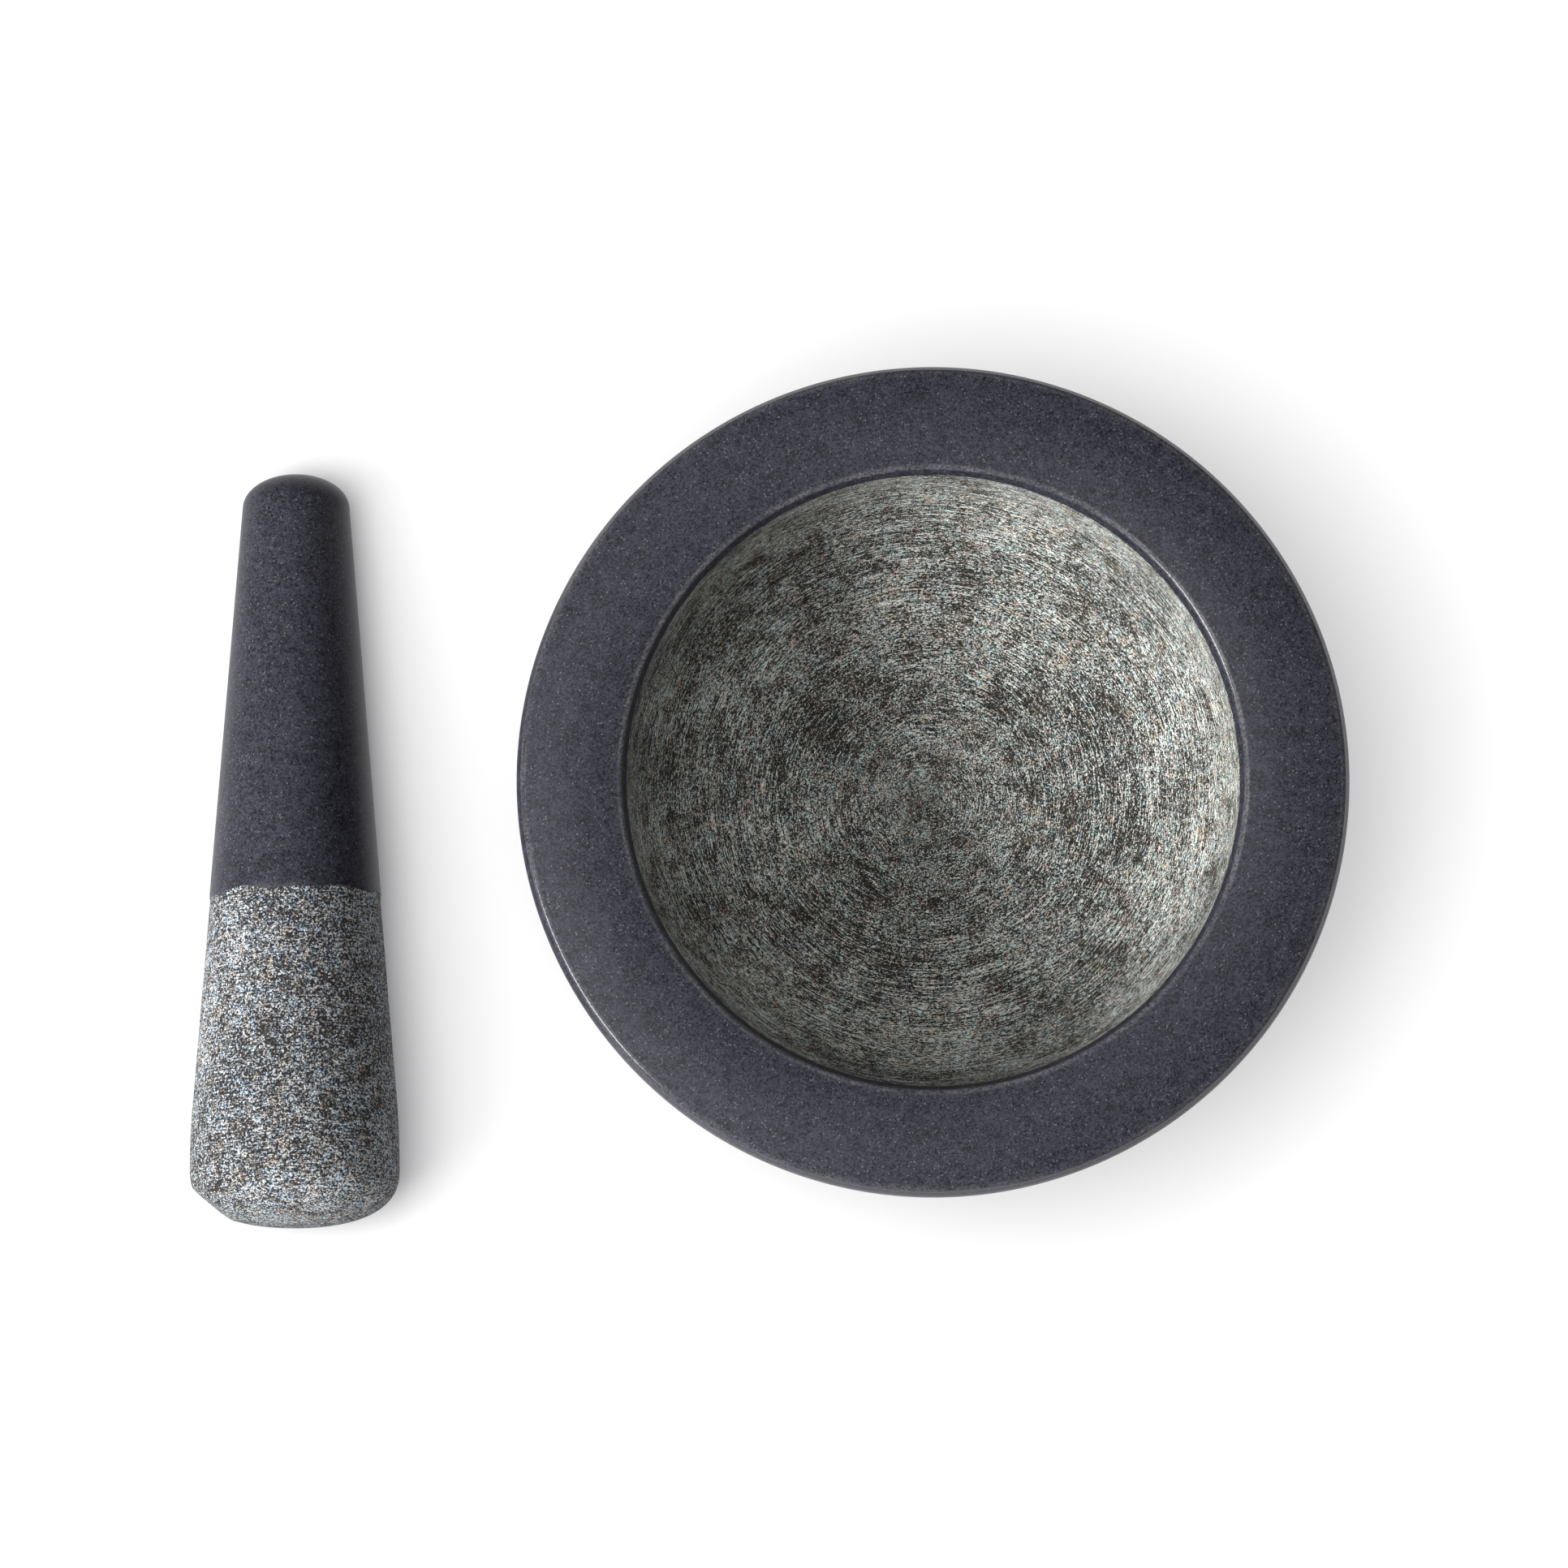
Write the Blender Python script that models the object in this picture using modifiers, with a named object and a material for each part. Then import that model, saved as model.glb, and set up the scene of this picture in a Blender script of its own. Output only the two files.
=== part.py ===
"""Molcajete: a turned stone mortar with a wide rim, and its loose tapered pestle lying beside it.

Metres, +Z up. The origin is the centre of the mortar's flat foot, on the table. The mortar stands on
the table with its axis on +Z. The pestle lies on the same table on the -X side, on one straight line
of its own taper, with its working head towards -Y and its handle towards +Y.
"""

from math import atan, cos, pi, radians, sin

import bmesh
import bpy
from mathutils import Euler

# ---- Driving dimensions of the mortar ----
MORTAR_WIDTH = 0.180  # across the widest circle of the wall
MORTAR_HEIGHT = 0.085  # from the table to the crown of the rim
WIDEST_DROP = 0.006  # from the crown of the rim down to the widest circle
RIM_INSET = 0.0009  # how far the rim's outer edge stands inside the widest circle
RIM_WIDTH = 0.0231  # from the widest circle in to the mouth
RIM_CROWN = 0.0008  # how far the rim's two edges fall below its crown
RIM_EDGE_ROUND = 0.0012  # round on the rim's outer edge
LIP_ROUND = 0.0012  # round on the rim's inner edge
LIP_DROP = 0.0042  # honed lip, from the crown down to where the ground bowl begins
LIP_LEAN = 0.0010  # how far the lip leans in on its way down
FLOOR_THICKNESS = 0.027  # stone under the deepest point of the bowl
BOWL_FULLNESS = 2.5  # 2 is a plain ellipse, more is a flatter floor with steeper sides
FOOT_WIDTH = 0.112  # across the flat foot, chamfer left out
FOOT_CHAMFER = 0.0015
WALL_SWEEP = radians(70.0)  # how far the wall has turned under by the time it meets the foot

# ---- Driving dimensions of the pestle ----
PESTLE_LENGTH = 0.170
PESTLE_WIDTH = 0.047  # across the widest circle, close to the working head
HANDLE_WIDTH = 0.024  # across the handle where its domed end begins
HANDLE_DOME = 0.0075  # height of the domed handle end
HEAD_DOME = 0.013  # height of the domed working head
HEAD_FULLNESS = 2.5  # 2 is a plain ellipse, more is a flatter end with a tighter shoulder
HEAD_SWELL = 0.015  # length over which the taper eases to parallel before the head

# ---- Where the pestle lies ----
PESTLE_GAP = 0.028  # clear table between the two pieces
PESTLE_SHIFT = -0.0088  # middle of the pestle along Y, from the mortar's axis

# ---- Facets ----
MORTAR_TURN_STEPS = 72
PESTLE_TURN_STEPS = 48
BOWL_STEPS = 14
WALL_STEPS = 10
RIM_STEPS = 4
ROUND_STEPS = 3
DOME_STEPS = 7
HEAD_STEPS = 9
TAPER_STEPS = 3
SWELL_STEPS = 3
SETTLING_ROUNDS = 20  # repeats that settle the slope of the pestle's taper
MERGE = 0.00001  # closes the points on the axis and the turn's first and last outline
SHARP_ANGLE = radians(40.0)


def clear_scene():
    for old in list(bpy.data.objects):
        bpy.data.objects.remove(old, do_unlink=True)


def make_collection(name):
    collection = bpy.data.collections.get(name) or bpy.data.collections.new(name)
    if collection.name not in bpy.context.scene.collection.children:
        bpy.context.scene.collection.children.link(collection)
    return collection


def stone(name, colour, roughness):
    """A dielectric stone finish with the given colour."""
    material = bpy.data.materials.new(name)
    material.use_nodes = True
    shader = material.node_tree.nodes["Principled BSDF"]
    shader.inputs["Base Color"].default_value = (*colour, 1.0)
    shader.inputs["Roughness"].default_value = roughness
    shader.inputs["Metallic"].default_value = 0.0
    return material


def arc(centre_r, centre_z, reach_r, reach_z, start, end, steps):
    """Points (radius, height) on a stretch of an ellipse, ends included."""
    turns = [start + (end - start) * i / steps for i in range(steps + 1)]
    return [(centre_r + reach_r * cos(a), centre_z + reach_z * sin(a)) for a in turns]


def join(*stretches):
    """One outline from stretches that each start where the one before ends."""
    outline = list(stretches[0])
    for stretch in stretches[1:]:
        outline += stretch[1:]
    return outline


def full_cup(widest_radius, top, bottom, fullness, steps):
    """A full-bodied quarter ellipse, from its lowest point on the axis up to its widest."""
    power = 2.0 / fullness
    points = [(0.0, bottom)]
    for i in range(steps - 1, -1, -1):
        turn = pi / 2 * i / steps
        points.append((widest_radius * cos(turn) ** power, top - (top - bottom) * sin(turn) ** power))
    return points


def mortar_outline():
    """Half section of the mortar: up the bowl, over the rim, down the wall and in under the foot."""
    widest = MORTAR_WIDTH / 2
    mouth = widest - RIM_WIDTH
    rim_edge_z = MORTAR_HEIGHT - RIM_CROWN
    lip_bottom_z = MORTAR_HEIGHT - LIP_DROP

    bowl = full_cup(mouth - LIP_LEAN, lip_bottom_z, FLOOR_THICKNESS, BOWL_FULLNESS, BOWL_STEPS)
    lip = [bowl[-1], (mouth, rim_edge_z - LIP_ROUND)]
    crown_start = mouth + LIP_ROUND
    inner_round = arc(crown_start, rim_edge_z - LIP_ROUND, LIP_ROUND, LIP_ROUND, pi, pi / 2, ROUND_STEPS)

    crown_end = widest - RIM_INSET - RIM_EDGE_ROUND
    crown = []
    for i in range(RIM_STEPS + 1):
        across = i / RIM_STEPS
        rise = RIM_CROWN * 4 * across * (1 - across)
        crown.append((crown_start + (crown_end - crown_start) * across, rim_edge_z + rise))
    edge_z = rim_edge_z - RIM_EDGE_ROUND
    outer_round = arc(crown_end, edge_z, RIM_EDGE_ROUND, RIM_EDGE_ROUND, pi / 2, 0, ROUND_STEPS)

    widest_z = MORTAR_HEIGHT - WIDEST_DROP
    shoulder_top = outer_round[-1]
    shoulder = [shoulder_top]
    for i in range(1, ROUND_STEPS + 1):
        down = i / ROUND_STEPS
        radius = shoulder_top[0] + RIM_INSET * down * (2 - down)
        shoulder.append((radius, shoulder_top[1] + (widest_z - shoulder_top[1]) * down))

    foot_edge = FOOT_WIDTH / 2 + FOOT_CHAMFER
    wall_reach_r = (widest - foot_edge) / (1 - cos(WALL_SWEEP))
    wall_reach_z = (widest_z - FOOT_CHAMFER) / sin(WALL_SWEEP)
    wall = arc(widest - wall_reach_r, widest_z, wall_reach_r, wall_reach_z, 0, -WALL_SWEEP, WALL_STEPS)
    foot = [wall[-1], (FOOT_WIDTH / 2, 0.0), (0.0, 0.0)]
    return join(bowl, lip, inner_round, crown, outer_round, shoulder, wall, foot)


def pestle_taper():
    """Slope of the straight taper, and where it meets the handle's dome and the swell.

    The dome is an ellipse and the swell a parabola, and the straight line touches both. Where it
    touches the dome depends on the slope, so the slope is found by repeating the sum until it settles.
    """
    handle_radius = HANDLE_WIDTH / 2
    swell_start = PESTLE_LENGTH - HEAD_DOME - HEAD_SWELL
    slope = 0.0
    for _ in range(SETTLING_ROUNDS):
        touch = atan(slope * HANDLE_DOME / handle_radius)
        dome_along = HANDLE_DOME * (1 - sin(touch))
        dome_radius = handle_radius * cos(touch)
        swell_radius = PESTLE_WIDTH / 2 - slope * HEAD_SWELL / 2
        slope = (swell_radius - dome_radius) / (swell_start - dome_along)
    return slope, touch, swell_start, swell_radius


def pestle_outline():
    """Half section of the pestle on its own axis: handle end at the top, working head at height 0."""
    slope, touch, swell_start, swell_radius = pestle_taper()
    handle_z = PESTLE_LENGTH - HANDLE_DOME
    dome = arc(0, handle_z, HANDLE_WIDTH / 2, HANDLE_DOME, pi / 2, touch, DOME_STEPS)
    dome[0] = (0.0, PESTLE_LENGTH)

    swell_z = PESTLE_LENGTH - swell_start
    taper_top = dome[-1]
    taper = []
    for i in range(TAPER_STEPS + 1):
        down = i / TAPER_STEPS
        radius = taper_top[0] + (swell_radius - taper_top[0]) * down
        taper.append((radius, taper_top[1] + (swell_z - taper_top[1]) * down))

    swell = []
    for i in range(SWELL_STEPS + 1):
        left = HEAD_SWELL * (1 - i / SWELL_STEPS)
        swell.append((PESTLE_WIDTH / 2 - slope * left * left / (2 * HEAD_SWELL), HEAD_DOME + left))

    head = full_cup(PESTLE_WIDTH / 2, HEAD_DOME, 0.0, HEAD_FULLNESS, HEAD_STEPS)
    return join(dome, taper, swell, head[::-1])


def turned(name, outline, steps, material, collection):
    """A solid turned on its local Z axis from a half section of (radius, height) points."""
    mesh = bpy.data.meshes.new(name)
    profile = bmesh.new()
    line = [profile.verts.new((radius, 0.0, height)) for radius, height in outline]
    for a, b in zip(line, line[1:]):
        profile.edges.new((a, b))
    profile.to_mesh(mesh)
    profile.free()
    piece = bpy.data.objects.new(name, mesh)
    collection.objects.link(piece)

    screw = piece.modifiers.new("turn", "SCREW")
    screw.axis = "Z"
    screw.angle = 2 * pi
    screw.steps = steps
    screw.render_steps = steps
    screw.use_merge_vertices = True
    screw.merge_threshold = MERGE
    screw.use_smooth_shade = True

    evaluated = piece.evaluated_get(bpy.context.evaluated_depsgraph_get())
    solid = bpy.data.meshes.new_from_object(evaluated)
    piece.modifiers.remove(screw)
    piece.data = solid
    bpy.data.meshes.remove(mesh)
    solid.name = name
    solid.shade_smooth()
    solid.set_sharp_from_angle(angle=SHARP_ANGLE)
    solid.materials.append(material)
    return piece


def lay_pestle_down(pestle):
    """Lay the pestle along Y so that the straight line of its taper rests on the table."""
    slope, _, swell_start, swell_radius = pestle_taper()
    lean = atan(slope)
    cone_radius_at_head = swell_radius + slope * (PESTLE_LENGTH - swell_start)
    across = MORTAR_WIDTH / 2 + PESTLE_GAP + PESTLE_WIDTH / 2
    half_run = PESTLE_LENGTH / 2 * cos(lean)
    pestle.rotation_euler = Euler((-(pi / 2 + lean), 0.0, 0.0))
    pestle.location = (-across, PESTLE_SHIFT - half_run, cone_radius_at_head * cos(lean))


def build():
    clear_scene()
    collection = make_collection("molcajete")
    mortar_stone = stone("mortar_stone", (0.055, 0.054, 0.066), 0.5)
    pestle_stone = stone("pestle_stone", (0.085, 0.088, 0.095), 0.55)
    turned("mortar", mortar_outline(), MORTAR_TURN_STEPS, mortar_stone, collection)
    pestle = turned("pestle", pestle_outline(), PESTLE_TURN_STEPS, pestle_stone, collection)
    lay_pestle_down(pestle)


build()
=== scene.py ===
# %% [markdown]
# # A turned stone molcajete
# This lesson finishes a stone mortar and its loose pestle. The sizes and places come from a packed
# model, which is loaded first and never moved. Each stone is then turned again as a fine mesh that
# carries the marks of its making, and gets a finish built from nodes. Last come the table, the
# lights and the camera.

# %% Load the model
from math import atan, cos, pi, radians, sin

import bpy
from mathutils import Matrix, Quaternion, Vector


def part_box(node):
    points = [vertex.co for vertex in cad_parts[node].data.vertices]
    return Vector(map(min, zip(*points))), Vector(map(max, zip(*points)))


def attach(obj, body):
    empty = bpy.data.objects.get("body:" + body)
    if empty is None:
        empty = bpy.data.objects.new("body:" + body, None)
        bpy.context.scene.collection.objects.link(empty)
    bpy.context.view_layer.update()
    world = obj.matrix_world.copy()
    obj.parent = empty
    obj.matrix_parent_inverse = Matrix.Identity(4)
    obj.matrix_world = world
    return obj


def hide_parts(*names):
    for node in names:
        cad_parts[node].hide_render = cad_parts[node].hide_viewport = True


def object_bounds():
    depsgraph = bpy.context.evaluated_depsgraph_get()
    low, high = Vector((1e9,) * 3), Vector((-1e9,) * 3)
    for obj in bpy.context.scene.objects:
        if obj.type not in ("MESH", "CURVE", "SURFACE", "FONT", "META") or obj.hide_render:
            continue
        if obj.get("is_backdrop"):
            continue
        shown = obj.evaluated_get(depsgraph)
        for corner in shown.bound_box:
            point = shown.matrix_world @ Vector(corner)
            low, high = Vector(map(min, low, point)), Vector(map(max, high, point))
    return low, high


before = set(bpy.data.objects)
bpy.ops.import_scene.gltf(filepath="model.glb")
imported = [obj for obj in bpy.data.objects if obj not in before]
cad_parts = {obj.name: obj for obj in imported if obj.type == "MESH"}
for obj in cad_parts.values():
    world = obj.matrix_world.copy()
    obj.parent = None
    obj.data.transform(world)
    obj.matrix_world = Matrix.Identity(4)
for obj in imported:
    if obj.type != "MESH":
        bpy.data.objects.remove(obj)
cad_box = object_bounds()
mortar_low, mortar_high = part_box("mortar")
pestle_low, pestle_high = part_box("pestle")
print("model box, mm:", [round(v * 1000, 1) for v in cad_box[1] - cad_box[0]])

# %% [markdown]
# ## Camera
# The two stones are seen almost straight from above, from far off and through a long lens, so that
# circles stay round and the table hardly tapers. A small lean from the vertical shows a sliver of the
# near wall and lets the far side of the bowl open up. The camera is made first, because the size of
# every mark is chosen by what it can see.

# %% Camera
CAMERA_LEAN = radians(4.94)  # away from straight down, towards -Y
CAMERA_RANGE = 1.738
CAMERA_LENS = 185.3
CAMERA_ROLL = radians(-0.47)
AIM_OFF_CENTRE = (0.0053, 0.0009)  # from the middle of the model's box


def add_camera():
    middle = (cad_box[0] + cad_box[1]) / 2
    aim = Vector((middle.x + AIM_OFF_CENTRE[0], middle.y + AIM_OFF_CENTRE[1], mortar_high.z))
    back = Vector((0.0, -sin(CAMERA_LEAN), cos(CAMERA_LEAN)))
    camera = bpy.data.objects.new("camera", bpy.data.cameras.new("camera"))
    camera.data.lens = CAMERA_LENS
    camera.location = aim + back * CAMERA_RANGE
    level = (-back).to_track_quat("-Z", "Y")
    camera.rotation_euler = (level @ Quaternion((0.0, 0.0, 1.0), CAMERA_ROLL)).to_euler()
    bpy.context.scene.collection.objects.link(camera)
    bpy.context.scene.camera = camera
    return camera


camera = add_camera()
print("camera stands at", [round(v, 3) for v in camera.location])

# %% [markdown]
# ## Helpers for node trees
# Everything from here on is built from nodes: the turning and its marks from Geometry Nodes, the
# finishes from shader nodes. `put` adds one node, sets it up and wires its inputs in one call. `sums`
# does the same for a sum, `remap` spreads a value over a new range, and `new_group` starts a tree with
# named sockets. With them a tree reads like a formula.

# %% Node helpers
def put(tree, kind, inputs=None, **settings):
    """Add a node. An input given a socket is linked to it, and any other value is typed in."""
    node = tree.nodes.new(kind)
    for name, value in settings.items():
        setattr(node, name, value)
    for name, value in (inputs or {}).items():
        if isinstance(value, bpy.types.NodeSocket):
            tree.links.new(value, node.inputs[name])
        else:
            node.inputs[name].default_value = value
    return node


def sums(tree, operation, *terms, clamp=False):
    """One Math node; gives its result socket."""
    inputs = dict(enumerate(terms))
    return put(tree, "ShaderNodeMath", inputs, operation=operation, use_clamp=clamp).outputs[0]


def remap(tree, value, low, high, to_low=0.0, to_high=1.0, smooth=False):
    """Spread the stretch from low to high over to_low to to_high, and hold it there outside."""
    inputs = {"Value": value, "From Min": low, "From Max": high, "To Min": to_low, "To Max": to_high}
    kind = "SMOOTHSTEP" if smooth else "LINEAR"
    return put(tree, "ShaderNodeMapRange", inputs, interpolation_type=kind).outputs["Result"]


def new_group(name, kind, inputs, outputs):
    """An empty node group with named sockets; gives the tree, its input node and its output node."""
    tree = bpy.data.node_groups.new(name, kind)
    for direction, sockets in (("INPUT", inputs), ("OUTPUT", outputs)):
        for socket_name, socket_kind, *start in sockets:
            socket = tree.interface.new_socket(socket_name, in_out=direction, socket_type=socket_kind)
            if start:
                socket.default_value = start[0]
    return tree, tree.nodes.new("NodeGroupInput"), tree.nodes.new("NodeGroupOutput")


print("helpers ready")

# %% [markdown]
# ## Outlines
# A lathe needs only half of the section. Each stretch of the outline is an arc, an ellipse or a
# straight line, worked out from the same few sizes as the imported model. The points lie close together
# where the stone is rough or rounded and far apart where it is plain. Each point also remembers how
# far along the outline it lies, called its run, because tool marks follow that path.

# %% Outline tools
def ellipse(centre, reach, start, end, spacing):
    """Points on a stretch of an ellipse, about spacing apart."""
    length = max(reach) * abs(end - start)
    steps = max(2, round(length / spacing))
    turns = [start + (end - start) * i / steps for i in range(steps + 1)]
    return [(centre[0] + reach[0] * cos(a), centre[1] + reach[1] * sin(a)) for a in turns]


def straight(start, end, spacing):
    """Points on a straight line, about spacing apart."""
    length = ((end[0] - start[0]) ** 2 + (end[1] - start[1]) ** 2) ** 0.5
    steps = max(1, round(length / spacing))
    return [tuple(a + (b - a) * i / steps for a, b in zip(start, end)) for i in range(steps + 1)]


def even(points, spacing):
    """The same path with its points about spacing apart."""
    runs = measure_run(points)
    steps = max(2, round(runs[-1] / spacing))
    placed, at = [], 0
    for i in range(steps + 1):
        want = runs[-1] * i / steps
        while at < len(runs) - 2 and runs[at + 1] < want:
            at += 1
        share = (want - runs[at]) / (runs[at + 1] - runs[at])
        placed.append(tuple(a + (b - a) * share for a, b in zip(points[at], points[at + 1])))
    return placed


def measure_run(points):
    """Distance along the path to each point."""
    runs = [0.0]
    for a, b in zip(points, points[1:]):
        runs.append(runs[-1] + ((b[0] - a[0]) ** 2 + (b[1] - a[1]) ** 2) ** 0.5)
    return runs


def join(*stretches):
    """One path from stretches that each start where the one before ends."""
    path = list(stretches[0])
    for stretch in stretches[1:]:
        path += stretch[1:]
    return path


print("outline tools ready")

# %% Sizes of the mortar's outline
RIM_INSET = 0.0009
RIM_WIDTH = 0.0231
RIM_CROWN = 0.0008
RIM_EDGE_ROUND = 0.0012
LIP_ROUND = 0.0012
LIP_DROP = 0.0042
LIP_LEAN = 0.0010
FLOOR_THICKNESS = 0.027
BOWL_FULLNESS = 2.5
WIDEST_DROP = 0.006
FOOT_WIDTH = 0.112
FOOT_CHAMFER = 0.0015
WALL_SWEEP = radians(70.0)

ROUGH_SPACING = 0.00050  # between points on ground stone
ROUND_SPACING = 0.00025  # on small rounds and on the lip
HONED_SPACING = 0.0011  # on plain honed stone
WALL_SPACING = 0.0022  # on the outer wall
FOOT_SPACING = 0.0090
print("rim:", round(RIM_WIDTH * 1000, 1), "mm wide; floor:", round(FLOOR_THICKNESS * 1000, 1), "mm thick")

# %% The mortar's outline
CUP_PARTS = 400  # parts that a full cup is measured in, before its points are spread evenly
CURVE_PARTS = 20  # the same for a shallow curve


def full_cup(widest, top, bottom, fullness):
    """A full-bodied quarter ellipse, from its lowest point on the axis up to its widest."""
    power = 2.0 / fullness
    turns = [pi / 2 * (1 - i / CUP_PARTS) for i in range(1, CUP_PARTS + 1)]
    side = [(widest * cos(a) ** power, top - (top - bottom) * sin(a) ** power) for a in turns]
    return [(0.0, bottom)] + side


def mortar_path():
    """Half section of the mortar, and the runs of the bowl's edge and of the rim's two edges."""
    widest, height = mortar_high.x, mortar_high.z
    mouth = widest - RIM_WIDTH
    rim_edge_z = height - RIM_CROWN
    cup = full_cup(mouth - LIP_LEAN, height - LIP_DROP, FLOOR_THICKNESS, BOWL_FULLNESS)
    bowl = even(cup, ROUGH_SPACING)
    lip = straight(bowl[-1], (mouth, rim_edge_z - LIP_ROUND), ROUND_SPACING)
    crown_start, crown_end = mouth + LIP_ROUND, widest - RIM_INSET - RIM_EDGE_ROUND
    inner = ellipse((crown_start, rim_edge_z - LIP_ROUND), (LIP_ROUND,) * 2, pi, pi / 2, ROUND_SPACING)
    shares = [i / CURVE_PARTS for i in range(CURVE_PARTS + 1)]
    crown = [
        (crown_start + (crown_end - crown_start) * s, rim_edge_z + RIM_CROWN * 4 * s * (1 - s))
        for s in shares
    ]
    edge_z = rim_edge_z - RIM_EDGE_ROUND
    outer = ellipse((crown_end, edge_z), (RIM_EDGE_ROUND,) * 2, pi / 2, 0, ROUND_SPACING)
    widest_z = height - WIDEST_DROP
    shoulder = [
        (outer[-1][0] + RIM_INSET * s * (2 - s), edge_z + (widest_z - edge_z) * s) for s in shares
    ]
    foot_edge = FOOT_WIDTH / 2 + FOOT_CHAMFER
    reach_r = (widest - foot_edge) / (1 - cos(WALL_SWEEP))
    reach_z = (widest_z - FOOT_CHAMFER) / sin(WALL_SWEEP)
    wall = ellipse((widest - reach_r, widest_z), (reach_r, reach_z), 0, -WALL_SWEEP, WALL_SPACING)
    chamfer = straight(wall[-1], (FOOT_WIDTH / 2, 0.0), ROUND_SPACING * 3)
    foot = straight(chamfer[-1], (0.0, 0.0), FOOT_SPACING)
    top = join(bowl, lip, inner, even(crown, HONED_SPACING), outer)
    runs = [measure_run(part)[-1] for part in (bowl, join(bowl, lip, inner), top)]
    return join(top, even(shoulder, HONED_SPACING), wall, chamfer, foot), runs


mortar_line, (bowl_run, mouth_run, brim_run) = mortar_path()
print("mortar outline:", len(mortar_line), "points; bowl runs", round(bowl_run * 1000, 1), "mm")

# %% The pestle's outline
PESTLE_LENGTH = 0.170
PESTLE_WIDTH = 0.047
HANDLE_WIDTH = 0.024
HANDLE_DOME = 0.0075
HEAD_DOME = 0.013
HEAD_FULLNESS = 2.5
HEAD_SWELL = 0.015
GROUND_LENGTH = 0.0736  # ground stone, from the head's end towards the handle
PESTLE_ROUGH_SPACING = 0.00042
SWELL_PARTS = 30
SETTLING_ROUNDS = 20


def pestle_taper():
    """Slope of the straight taper, found by repeating the sum until the line touches both ends."""
    radius, slope = HANDLE_WIDTH / 2, 0.0
    swell_start = PESTLE_LENGTH - HEAD_DOME - HEAD_SWELL
    for _ in range(SETTLING_ROUNDS):
        touch = atan(slope * HANDLE_DOME / radius)
        swell_radius = PESTLE_WIDTH / 2 - slope * HEAD_SWELL / 2
        dome_along = HANDLE_DOME * (1 - sin(touch))
        slope = (swell_radius - radius * cos(touch)) / (swell_start - dome_along)
    return slope, touch, swell_radius


def pestle_path():
    """Half section of the pestle, handle end first, and the run at which the ground stone starts."""
    slope, touch, swell_radius = pestle_taper()
    handle = (0.0, PESTLE_LENGTH - HANDLE_DOME)
    dome = ellipse(handle, (HANDLE_WIDTH / 2, HANDLE_DOME), pi / 2, touch, HONED_SPACING)
    swell_z = HEAD_DOME + HEAD_SWELL
    top_radius, top_z = dome[-1]
    down = (top_z - GROUND_LENGTH) / (top_z - swell_z)
    change = (top_radius + (swell_radius - top_radius) * down, GROUND_LENGTH)
    honed = straight(dome[-1], change, HONED_SPACING)
    ground = straight(change, (swell_radius, swell_z), PESTLE_ROUGH_SPACING)
    lefts = [HEAD_SWELL * (1 - i / SWELL_PARTS) for i in range(SWELL_PARTS + 1)]
    swell = [(PESTLE_WIDTH / 2 - slope * left ** 2 / (2 * HEAD_SWELL), HEAD_DOME + left) for left in lefts]
    head = full_cup(PESTLE_WIDTH / 2, HEAD_DOME, 0.0, HEAD_FULLNESS)[::-1]
    path = join(dome, honed, ground, even(swell + head[1:], PESTLE_ROUGH_SPACING))
    path[0], path[-1] = (0.0, PESTLE_LENGTH), (0.0, 0.0)
    return path, measure_run(join(dome, honed))[-1]


pestle_line, honed_run = pestle_path()
print("pestle outline:", len(pestle_line), "points; honed run", round(honed_run * 1000, 1), "mm")

# %% [markdown]
# ## The lathe
# On a real lathe the stone spins against a tool, so the shape is one outline carried round an axis.
# The Screw modifier could do that, but it knows nothing of tool marks. Here a node tree does both: it
# bends a flat grid round the axis, one column for each step of the turn and one row for each point
# of the outline. Then it pushes the skin in where a tool or wear would have taken stone away. The
# place of each point before the marks, and its run, stay on the mesh as attributes, so the finishes
# can follow the same path later on.

# %% The lathe's inputs, and helpers for its tree
LATHE_INPUTS = [
    ("Outline", "NodeSocketGeometry"),
    ("Turn Steps", "NodeSocketInt", 320),
    ("Ground From", "NodeSocketFloat", 0.0),
    ("Ground To", "NodeSocketFloat", 1.0),
    ("Ground Edge", "NodeSocketFloat", 0.0006),
    ("Ground Step", "NodeSocketFloat", 0.00012),
    ("Ring Pitch", "NodeSocketFloat", 0.0012),
    ("Ring Depth", "NodeSocketFloat", 0.00006),
    ("Grit Size", "NodeSocketFloat", 0.0012),
    ("Grit Depth", "NodeSocketFloat", 0.00008),
    ("Sway Size", "NodeSocketFloat", 0.012),
    ("Sway Depth", "NodeSocketFloat", 0.00015),
    ("Wear Facing", "NodeSocketVector", (0.0, 0.0, -1.0)),
    ("Wear Reach", "NodeSocketFloat", 1.0),
    ("Seed", "NodeSocketFloat", 0.0),
    ("Stone", "NodeSocketMaterial"),
]


def sample_outline(tree, outline, row, value, kind):
    """The value that the outline's point number row holds."""
    inputs = {"Geometry": outline, "Value": value, "Index": row}
    node = put(tree, "GeometryNodeSampleIndex", inputs, data_type=kind, domain="POINT")
    return node.outputs["Value"]


def noise(tree, place, size, detail=2.0, roughness=0.5):
    """Smooth random values with features about size across, from 0 to 1 with 0.5 in the middle."""
    scale = sums(tree, "DIVIDE", 1.0, size)
    inputs = {"Vector": place, "Detail": detail, "Roughness": roughness, "Scale": scale}
    return put(tree, "ShaderNodeTexNoise", inputs, noise_dimensions="3D").outputs["Fac"]


def store(tree, geometry, name, value, kind):
    """Keep a value on every point under a name."""
    inputs = {"Geometry": geometry, "Name": name, "Value": value}
    node = put(tree, "GeometryNodeStoreNamedAttribute", inputs, data_type=kind, domain="POINT")
    return node.outputs["Geometry"]


def stored(tree, name):
    """The number that every point keeps under a name."""
    node = put(tree, "GeometryNodeInputNamedAttribute", {"Name": name}, data_type="FLOAT")
    return node.outputs["Attribute"]


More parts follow.
